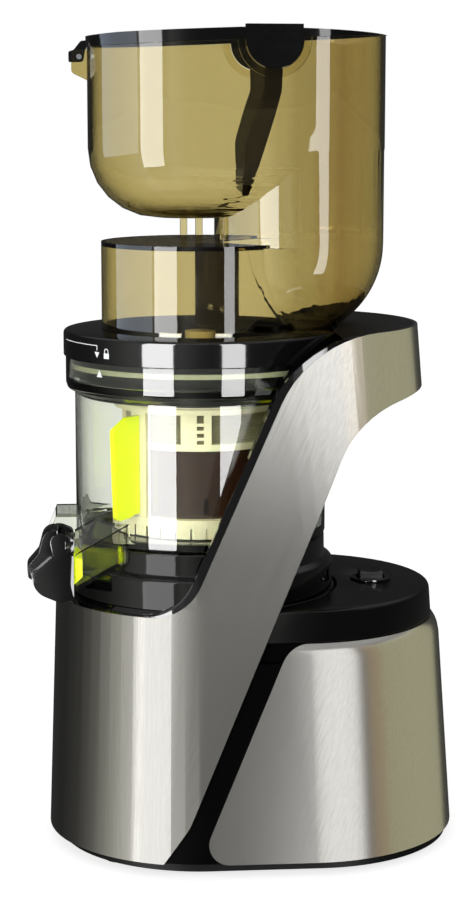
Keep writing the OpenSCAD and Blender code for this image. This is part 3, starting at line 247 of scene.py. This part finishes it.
def make_brushed_steel():
    """Brushed stainless sheet with a champagne tint: the hairlines run up the front and along the arms."""
    material = bpy.data.materials.new("brushed_champagne_steel")
    material.use_nodes = True
    tree = material.node_tree
    tree.nodes.clear()
    place = add(tree, "ShaderNodeTexCoord").outputs["Object"]
    parts = add(tree, "ShaderNodeSeparateXYZ", inputs={"Vector": place})
    hairs = []
    for lean in (0.0, ARM_LEAN):
        turned = add(tree, "ShaderNodeVectorRotate", {"rotation_type": "Y_AXIS"},
            {"Vector": place, "Angle": -lean})
        laid = add(tree, "ShaderNodeMapping", inputs={"Vector": turned.outputs["Vector"],
            "Scale": (1, 1, 0.012)})
        hairs.append(add(tree, "ShaderNodeTexNoise", inputs={"Vector": laid.outputs["Vector"],
            "Scale": 1 / HAIR_GAP, "Detail": 4.0, "Roughness": 0.7}).outputs["Fac"])
    side = add(tree, "ShaderNodeMapRange", {"interpolation_type": "SMOOTHSTEP"},
        {"Value": parts.outputs["X"], "From Min": FRONT_ENDS, "From Max": ARM_STARTS})
    hair = add(tree, "ShaderNodeMix", inputs={"Factor": side.outputs["Result"], "A": hairs[0], "B": hairs[1]})
    shade = add(tree, "ShaderNodeMix", {"data_type": "RGBA"},
        {"Factor": hair.outputs[0], 6: linear("#CFCDC8"), 7: linear("#E7E5E0")})
    # the front is polished harder than the arms, so the softbox has sharp edges there
    sheen = add(tree, "ShaderNodeMix", inputs={"Factor": side.outputs["Result"], "A": 0.13, "B": 0.21})
    gloss = add(tree, "ShaderNodeMapRange", inputs={"Value": hair.outputs[0],
        "From Min": 0.3, "From Max": 0.7, "To Min": 0.04, "To Max": -0.015})
    gloss = add(tree, "ShaderNodeMath", {"operation": "ADD"},
        {0: gloss.outputs["Result"], 1: sheen.outputs[0]})
    relief = add(tree, "ShaderNodeBump", inputs={"Height": hair.outputs[0], "Distance": 0.02 * MM,
        "Strength": 0.5})
    shader = add(tree, "ShaderNodeBsdfPrincipled", inputs={"Base Color": shade.outputs[2], "Metallic": 1.0,
        "Roughness": gloss.outputs["Value"], "Normal": relief.outputs["Normal"]})
    add(tree, "ShaderNodeOutputMaterial", inputs={"Surface": shader.outputs["BSDF"]})
    return material


MATERIALS = {name: make_finish(name, **row) for name, row in FINISHES.items()}
MATERIALS["brushed_champagne_steel"] = make_brushed_steel()

NODE_FINISH = {
    "foot_rubber": ["foot_pads", "power_gland", "shaft_seal"],
    "satin_black_abs": ["base_tray", "head_cover", "rocker_button", "motor_fan"],
    "shaded_black_abs": ["chassis"],
    "gloss_black_abs": ["arm_frame", "switch_bezel", "deck_ring", "bowl_seat", "juice_cap", "lid_ring",
        "rim_frame"],
    "motor_cap_abs": ["motor_cap"],
    "brushed_champagne_steel": ["front_wrap", "rear_panel"],
    "zinc_plate": ["base_screws", "rim_pin"],
    "lamination_steel": ["motor_stator", "motor_rotor"],
    "copper_wire": ["motor_windings"],
    "cast_aluminium": ["gearbox_case", "gearbox_lid"],
    "acetal": ["cluster_gear", "output_gear", "top_bush"],
    "ground_steel": ["drive_shaft", "lower_bearing", "upper_bearing"],
    "circuit_board": ["control_board"],
    "clear_copolyester": ["bowl", "juice_spout", "pulp_spout", "cap_pin"],
    "seal_silicone": ["bowl_seal", "lid_seal"],
    "lime_silicone": ["cap_plug", "wiper_blades"],
    "cream_polyetherimide": ["strainer", "wiper_ring", "idler_gear_a", "idler_gear_b"],
    "etched_steel": ["strainer_mesh"],
    "amber_polyetherimide": ["strainer_skirt", "auger"],
    "smoky_copolyester": ["hopper"],
    "dark_copolyester": ["flap"],
}
FINISH_OF = {node: finish for finish, nodes in NODE_FINISH.items() for node in nodes}


# ---- Pieces --------------------------------------------------------------
def only(piece):
    """Selects one piece and nothing else."""
    bpy.ops.object.select_all(action="DESELECT")
    piece.select_set(True)
    bpy.context.view_layer.objects.active = piece


def wear(piece, finish):
    """Gives a piece one of the finishes."""
    piece.data.materials.clear()
    piece.data.materials.append(MATERIALS[finish])


def smoothed(name, edge):
    """The CAD shape as one joined skin with round shading, its edges softened by so many millimetres."""
    source = NODES[name]
    piece = bpy.data.objects.new(name + "_skin", source.data.copy())
    bpy.context.collection.objects.link(piece)
    only(piece)
    bpy.ops.object.mode_set(mode="EDIT")
    bpy.ops.mesh.select_all(action="SELECT")
    bpy.ops.mesh.customdata_custom_splitnormals_clear()
    bpy.ops.mesh.remove_doubles(threshold=0.004 * MM)
    bpy.ops.object.mode_set(mode="OBJECT")
    if edge:
        bpy.ops.object.mode_set(mode="EDIT")
        bpy.ops.mesh.select_all(action="SELECT")
        bpy.ops.mesh.dissolve_limited(angle_limit=math.radians(0.4))
        bpy.ops.object.mode_set(mode="OBJECT")
        bevel = piece.modifiers.new("soft_edges", "BEVEL")
        bevel.width, bevel.segments = edge * MM, 2 if edge < 1 else 5
        bevel.limit_method, bevel.angle_limit = "ANGLE", math.radians(40)
        bevel.use_clamp_overlap = True
        bpy.ops.object.modifier_apply(modifier="soft_edges")
    bpy.ops.object.shade_smooth_by_angle(angle=math.radians(28))
    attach(piece, source["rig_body"])
    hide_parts(name)
    return piece


for node_name, finish in FINISH_OF.items():
    wear(NODES[node_name], finish)

# Rounding of the moulded edges in millimetres; the other skins keep the edges of their CAD shape
SOFT_EDGES = {"rocker_button": 2.6, "switch_bezel": 0.4, "motor_cap": 0.8, "juice_cap": 0.5, "cap_plug": 0.3}
SMOOTHED = ["hopper", "bowl", "flap", "lid_ring", "rim_frame", "auger", "strainer", "strainer_skirt",
    "juice_spout", "pulp_spout", "juice_cap", "cap_plug", "wiper_blades", "wiper_ring", "front_wrap",
    "rear_panel", "arm_frame", "head_cover", "motor_cap", "deck_ring", "bowl_seat", "switch_bezel",
    "rocker_button", "chassis", "base_tray"]
SKINS = {}
for node_name in SMOOTHED:
    SKINS[node_name] = smoothed(node_name, SOFT_EDGES.get(node_name, 0.0))
    wear(SKINS[node_name], FINISH_OF[node_name])


RING_ABOVE_SEAL = 3.6 * MM          # from the top of the lid seal to the lower edge of the black ring


def clear_lid_skirt():
    """The lid is black down to the ring's lower edge; the skirt inside the collar is moulded clear."""
    lid = SKINS["lid_ring"].data
    lid.materials.append(MATERIALS["clear_copolyester"])
    ring_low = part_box("lid_seal")[1][2] + RING_ABOVE_SEAL
    for face in lid.polygons:
        if all(lid.vertices[i].co.z < ring_low for i in face.vertices):
            face.material_index = 1


clear_lid_skirt()


HOLES_ROUND = 220          # holes in one row of the strainer's sheet
HOLE_ROWS = 22
WEB = 0.72 * MM            # steel between two holes
BAND_DEPTH = 0.2 * MM      # the band's middle lies this far inside the CAD sleeve's outer face
BAND_MARGIN = 0.3 * MM     # and its rims this far inside the sleeve's ends


def perforated_band():
    """The strainer's etched sheet: staggered holes in a thin band, modelled once and wrapped round."""
    (low_x, _, low_z), (high_x, _, high_z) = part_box("strainer_mesh")
    radius = (high_x - low_x) / 2 - BAND_DEPTH
    bpy.ops.object.select_all(action="DESELECT")
    bpy.ops.mesh.primitive_grid_add(x_subdivisions=HOLES_ROUND, y_subdivisions=HOLE_ROWS, size=1)
    band = bpy.context.object
    band.name = "strainer_perforations"
    for vertex in band.data.vertices:
        row = round((vertex.co.y + 0.5) * HOLE_ROWS)
        a = math.tau * (vertex.co.x + 0.5 + (row % 2) * 0.5 / HOLES_ROUND)
        vertex.co = (AXIS_X + radius * math.cos(a), radius * math.sin(a),
            low_z + BAND_MARGIN + (vertex.co.y + 0.5) * (high_z - low_z - 2 * BAND_MARGIN))
    only(band)
    bpy.ops.object.mode_set(mode="EDIT")
    bpy.ops.mesh.select_all(action="SELECT")
    bpy.ops.mesh.remove_doubles(threshold=0.01 * MM)
    bpy.ops.object.mode_set(mode="OBJECT")
    web = band.modifiers.new("webs", "WIREFRAME")
    web.thickness = WEB
    web.offset = 0
    web.use_even_offset = False
    bpy.ops.object.modifier_apply(modifier="webs")
    wear(band, "etched_steel")
    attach(band, NODES["strainer_mesh"]["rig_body"])
    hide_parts("strainer_mesh")


perforated_band()


# a dark core in the dome: partly the auger's top boss, partly a painted reflection of the black parts
BOSS_R = 13 * MM
BOSS_TALL = 46 * MM
BOSS_BACK = 10 * MM        # the boss stands this far behind the bowl axis
BOSS_LIFT = 1.5 * MM       # and this far above the lid ring


def dome_boss():
    """A dark boss for the auger's top pin, put in the dome as a painted reflection of the black parts below
    it.
    """
    dome_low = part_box("lid_ring")[1][2] + BOSS_LIFT
    bpy.ops.object.select_all(action="DESELECT")
    bpy.ops.mesh.primitive_cylinder_add(vertices=72, radius=BOSS_R, depth=BOSS_TALL,
        location=(AXIS_X + BOSS_BACK, 0, dome_low + BOSS_TALL / 2))
    boss = bpy.context.object
    boss.name = "dome_boss"
    bpy.ops.object.transform_apply(location=True, rotation=True, scale=True)
    soft = boss.modifiers.new("rounded_ends", "BEVEL")
    soft.width, soft.segments = 1.5 * MM, 3
    bpy.ops.object.modifier_apply(modifier="rounded_ends")
    bpy.ops.object.shade_smooth_by_angle(angle=math.radians(35))
    wear(boss, "dark_copolyester")
    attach(boss, "lid_body")


dome_boss()


# ---- Printed marks -------------------------------------------------------
RING_R = 81 * MM
COLLAR_R = 79.8 * MM
INK = 0.12 * MM            # the ink stands this proud
LOCK_TURN, LOCK_HEIGHT = -140.3, 296.8 * MM        # where the flat drawing's zero goes on the ring
BOWL_MARK_TURN, BOWL_MARK_HEIGHT = -139.9, 287.2 * MM


def wrap(piece, radius, turn, height):
    """Bends a flat shape, X along and Y outwards, round the bowl axis at a turn from +X and a height."""
    for vertex in piece.data.vertices:
        a = math.radians(turn) + vertex.co.x / radius
        r = radius + vertex.co.y
        vertex.co = (AXIS_X + r * math.cos(a), r * math.sin(a), height + vertex.co.z)
    only(piece)
    bpy.ops.object.mode_set(mode="EDIT")
    bpy.ops.mesh.select_all(action="SELECT")
    bpy.ops.mesh.normals_make_consistent(inside=False)
    bpy.ops.object.mode_set(mode="OBJECT")


def bar(name, long, high, at=(0, 0), cuts=1):
    """A flat bar of ink, long by high, about a point of the flat drawing."""
    bpy.ops.object.select_all(action="DESELECT")
    bpy.ops.mesh.primitive_cube_add(size=1, scale=(long * MM, INK, high * MM),
        location=(at[0] * MM, INK / 2, at[1] * MM))
    piece = bpy.context.object
    piece.name = name
    bpy.ops.object.transform_apply(location=True, rotation=True, scale=True)
    if cuts > 1:
        bpy.ops.object.mode_set(mode="EDIT")
        bpy.ops.mesh.subdivide(number_cuts=cuts)
        bpy.ops.object.mode_set(mode="OBJECT")
    return piece


def pointer(name, size, at=(0, 0), up=True):
    """A flat triangle of ink that points up or down."""
    bpy.ops.object.select_all(action="DESELECT")
    bpy.ops.mesh.primitive_cylinder_add(vertices=3, radius=size * MM, depth=INK,
        rotation=(math.radians(90), 0, 0), location=(at[0] * MM, INK / 2, at[1] * MM))
    piece = bpy.context.object
    piece.name = name
    bpy.ops.object.transform_apply(location=True, rotation=True, scale=True)
    top = max(piece.data.vertices, key=lambda v: v.co.z).co.z / MM - at[1]
    if (top > size * 0.9) != up:
        for vertex in piece.data.vertices:
            vertex.co.z = 2 * at[1] * MM - vertex.co.z
    return piece


def shackle(name, radius, at):
    """The bow of a padlock: half a flattened torus with a straight foot under each end."""
    bpy.ops.object.select_all(action="DESELECT")
    bpy.ops.mesh.primitive_torus_add(major_radius=radius * MM, minor_radius=0.28 * MM, major_segments=28,
        minor_segments=6, rotation=(math.radians(90), 0, 0), location=(at[0] * MM, INK / 2, at[1] * MM))
    piece = bpy.context.object
    piece.name = name
    bpy.ops.object.transform_apply(location=True, rotation=True, scale=True)
    for vertex in piece.data.vertices:
        vertex.co.y = INK if vertex.co.y > INK / 2 else 0
        if vertex.co.z < at[1] * MM:
            vertex.co.z = at[1] * MM - radius * MM
    return piece


def joined(name, pieces):
    """Makes one piece of several."""
    only(pieces[0])
    for piece in pieces[1:]:
        piece.select_set(True)
    bpy.ops.object.join()
    pieces[0].name = name
    return pieces[0]


def print_marks():
    """Lock line, arrow and padlock on the lid ring, and the pointer on the bowl's collar, in mm."""
    lock = joined("lock_mark", [
        bar("lock_line", 39.5, 0.45, at=(-19.7, 7.2), cuts=32),
        bar("lock_drop", 0.45, 3.0, at=(0, 5.9)),
        pointer("lock_arrow", 2.3, at=(0, 2.4), up=False),
        bar("lock_body", 3.9, 3.1, at=(7.6, 1.7)),
        shackle("lock_bow", 1.35, at=(7.6, 4.4))])
    wrap(lock, RING_R, LOCK_TURN, LOCK_HEIGHT)
    point = pointer("bowl_mark", 2.7)
    wrap(point, COLLAR_R, BOWL_MARK_TURN, BOWL_MARK_HEIGHT)
    for piece, body in ((lock, "lid_body"), (point, "bowl_body")):
        wear(piece, "white_print")
        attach(piece, body)


print_marks()


# ---- Studio --------------------------------------------------------------
def looked_at(tree):
    """1 for what is looked at straight or through the clear walls, 0 for what a surface mirrors."""
    rays = add(tree, "ShaderNodeLightPath")
    unmirrored = add(tree, "ShaderNodeMath", {"operation": "LESS_THAN"},
        {0: rays.outputs["Glossy Depth"], 1: 0.5})
    through = add(tree, "ShaderNodeMath", {"operation": "MULTIPLY"},
        {0: rays.outputs["Is Transmission Ray"], 1: unmirrored.outputs["Value"]})
    return add(tree, "ShaderNodeMath", {"operation": "MAXIMUM"},
        {0: rays.outputs["Is Camera Ray"], 1: through.outputs["Value"]})


FLOOR_GLOW = 0.79          # added to what the matt paint gives back, so that the floor is seen white


def make_floor():
    """A pale floor that keeps the juicer's shadow; what is seen in it and through it stays white."""
    bpy.ops.object.select_all(action="DESELECT")
    bpy.ops.mesh.primitive_plane_add(size=12, location=(0, 0, 0))
    floor = bpy.context.object
    floor.name = "studio_floor"
    material = bpy.data.materials.new("pale_floor")
    material.use_nodes = True
    tree = material.node_tree
    tree.nodes.clear()
    seen = looked_at(tree)
    noise = add(tree, "ShaderNodeTexNoise", inputs={"Scale": 6.0, "Detail": 2.0})
    paint = add(tree, "ShaderNodeMix", {"data_type": "RGBA"},
        {"Factor": noise.outputs["Fac"], 6: linear("#F0F0F0"), 7: linear("#F4F4F4")})
    matt = add(tree, "ShaderNodeBsdfDiffuse", inputs={"Color": paint.outputs[2]})
    strength = add(tree, "ShaderNodeMath", {"operation": "MULTIPLY"},
        {0: seen.outputs["Value"], 1: FLOOR_GLOW})
    glow = add(tree, "ShaderNodeEmission", inputs={"Color": linear("#FFFFFF"),
        "Strength": strength.outputs["Value"]})
    both = add(tree, "ShaderNodeAddShader", inputs={0: matt.outputs["BSDF"], 1: glow.outputs["Emission"]})
    add(tree, "ShaderNodeOutputMaterial", inputs={"Surface": both.outputs["Shader"]})
    floor.data.materials.append(material)
    floor.visible_glossy = False


def make_world():
    """A studio of upright panels round the juicer, as bands of light and shade by compass direction."""
    world = bpy.data.worlds.new("studio")
    bpy.context.scene.world = world
    world.use_nodes = True
    tree = world.node_tree
    tree.nodes.clear()
    direction = add(tree, "ShaderNodeTexCoord").outputs["Generated"]
    parts = add(tree, "ShaderNodeSeparateXYZ", inputs={"Vector": direction})
    back = add(tree, "ShaderNodeMath", {"operation": "MULTIPLY"}, {0: parts.outputs["Y"], 1: -1.0})
    turn = add(tree, "ShaderNodeMath", {"operation": "ARCTAN2"},
        {0: parts.outputs["X"], 1: back.outputs["Value"]})
    share = add(tree, "ShaderNodeMapRange", inputs={"Value": turn.outputs["Value"],
        "From Min": -math.pi, "From Max": math.pi})
    # compass degrees, 0 towards the camera and 90 to its right, with the light there
    bands = [(-180, "#303030"), (-137, "#2A2A2A"), (-112, "#3C3C3A"), (-94, "#62625E"), (-78, "#96968F"),
             (-63, "#C4C4BE"), (-55, "#CCCCC8"), (-51, "#7A7A78"), (-28, "#7E7E7C"), (-20, "#B8B8B4"),
             (-12, "#9E9E9A"), (-5, "#7A7A78"), (2, "#626260"), (12, "#4E4E4C"), (24, "#40403E"),
             (44, "#484846"), (60, "#404040"), (100, "#4A4A48"), (140, "#3C3C3C"), (180, "#303030")]
    ring = add(tree, "ShaderNodeValToRGB", {"stops": [((a + 180) / 360, linear(c)) for a, c in bands]},
        {"Fac": share.outputs["Result"]})
    up = add(tree, "ShaderNodeMapRange", {"interpolation_type": "SMOOTHSTEP"},
        {"Value": parts.outputs["Z"], "From Min": 0.35, "From Max": 0.8})
    roof = add(tree, "ShaderNodeMix", {"data_type": "RGBA"},
        {"Factor": up.outputs["Result"], 6: ring.outputs["Color"], 7: linear("#A8A8A8")})
    studio = add(tree, "ShaderNodeBackground", inputs={"Color": roof.outputs[2], "Strength": 1.0})
    white = add(tree, "ShaderNodeBackground", inputs={"Color": linear("#FFFFFF"), "Strength": 1.0})
    seen = looked_at(tree)
    shown = add(tree, "ShaderNodeMixShader", inputs={0: seen.outputs["Value"],
        1: studio.outputs["Background"], 2: white.outputs["Background"]})
    add(tree, "ShaderNodeOutputWorld", inputs={"Surface": shown.outputs["Shader"]})


# Each softbox: name, compass turn, degrees across, lower and upper edge, distance, strength, the group
# that it lights (or all, where there is none) and its tint. Lengths are in metres.
SOFTBOXES = [
    ("left_softbox", -41, 29, -0.35, 1.5, 1.5, 6.0, "plastics", "#FFFFFF"),
    ("right_softbox", 24, 24, -0.35, 1.5, 1.5, 5.0, "plastics", "#FFFFFF"),
    ("gloss_left_box", -38.5, 26, -0.35, 1.5, 1.5, 14.0, "high_gloss", "#FFFFFF"),
    ("gloss_right_box", 23, 19, -0.35, 1.5, 1.5, 11.0, "high_gloss", "#FFFFFF"),
    ("low_left_box", -40, 27, -0.35, 1.5, 1.5, 2.2, "low_gloss", "#FFFFFF"),
    ("hopper_left_box", -43.5, 27, -0.35, 1.5, 1.5, 6.0, "hopper_set", "#FFFFFF"),
    ("hopper_right_box", 29.5, 12, -0.35, 1.5, 1.5, 5.0, "hopper_set", "#FFFFFF"),
    ("hopper_side_box", -88, 56, 0.1, 1.2, 1.5, 1.6, "hopper_set", "#DDEBFF"),
    ("front_strip", -39.6, 30, -0.9, 1.2, 1.5, 1.0, "front_metal", "#FFFFFF"),
    ("arm_light", 31, 56, 0.03, 1.3, 1.5, 1.2, "front_metal", "#FFFFFF"),
    ("rear_light", 28, 34, -0.9, 1.2, 1.5, 1.0, "rear_metal", "#FFFFFF"),
    ("brown_panel", 58, 12, -0.9, 1.2, 1.6, 0.9, "metals", "#A08C6C"),
    ("olive_panel", 98, 68, -0.9, 1.2, 1.6, 0.85, "metals", "#ACAA8A"),
    ("overhead_fill", -20, 50, 1.6, 2.6, 1.4, 0.6, None, "#FFFFFF"),
]


def softbox(name, turn, wide, low, high, away, light, receivers, tint):
    """A tall soft light at a compass turn from the camera side, wide degrees across, seen in the gloss."""
    lamp = bpy.data.lights.new(name, "AREA")
    lamp.shape = "RECTANGLE"
    lamp.color = linear(tint)[:3]
    lamp.size = 2 * away * math.tan(math.radians(wide / 2))
    lamp.size_y = high - low
    lamp.energy = light * math.pi * lamp.size * lamp.size_y
    box = bpy.data.objects.new(name, lamp)
    bpy.context.collection.objects.link(box)
    a = math.radians(turn)
    facing = Vector((math.sin(a), -math.cos(a), 0))
    box.location = Vector((AXIS_X, 0, (low + high) / 2)) + facing * away
    box.rotation_mode = "QUATERNION"
    box.rotation_quaternion = facing.to_track_quat("Z", "Y")
    box.visible_camera = False
    box.visible_transmission = False
    if receivers:
        box.light_linking.receiver_collection = receivers


def light_studio():
    """Tall softboxes, each linked to what shows it in the photograph, and a soft fill from above."""
    groups = {}

    def link(group, piece):
        if group not in groups:
            groups[group] = bpy.data.collections.new(group)
        groups[group].objects.link(piece)

    for piece in bpy.data.objects:
        worn = {slot.material.name for slot in getattr(piece, "material_slots", []) if slot.material}
        if piece.type != "MESH" or not worn:
            continue
        if "brushed_champagne_steel" in worn:
            link("metals", piece)
            link("front_metal" if piece.name.startswith("front") else "rear_metal", piece)
        elif piece.name.startswith(("hopper", "rim_frame", "flap")):
            link("hopper_set", piece)
        elif piece.name.startswith(("motor_cap", "chassis", "deck_ring", "bowl_seat")):
            link("low_gloss", piece)
        elif worn & {"gloss_black_abs", "clear_copolyester"}:
            link("high_gloss", piece)
        else:
            link("floor" if piece.name == "studio_floor" else "plastics", piece)
    for name, turn, wide, low, high, away, light, group, tint in SOFTBOXES:
        softbox(name, turn, wide, low, high, away, light, groups[group] if group else None, tint)


make_floor()
make_world()
light_studio()

bpy.context.scene.view_settings.view_transform = "Standard"
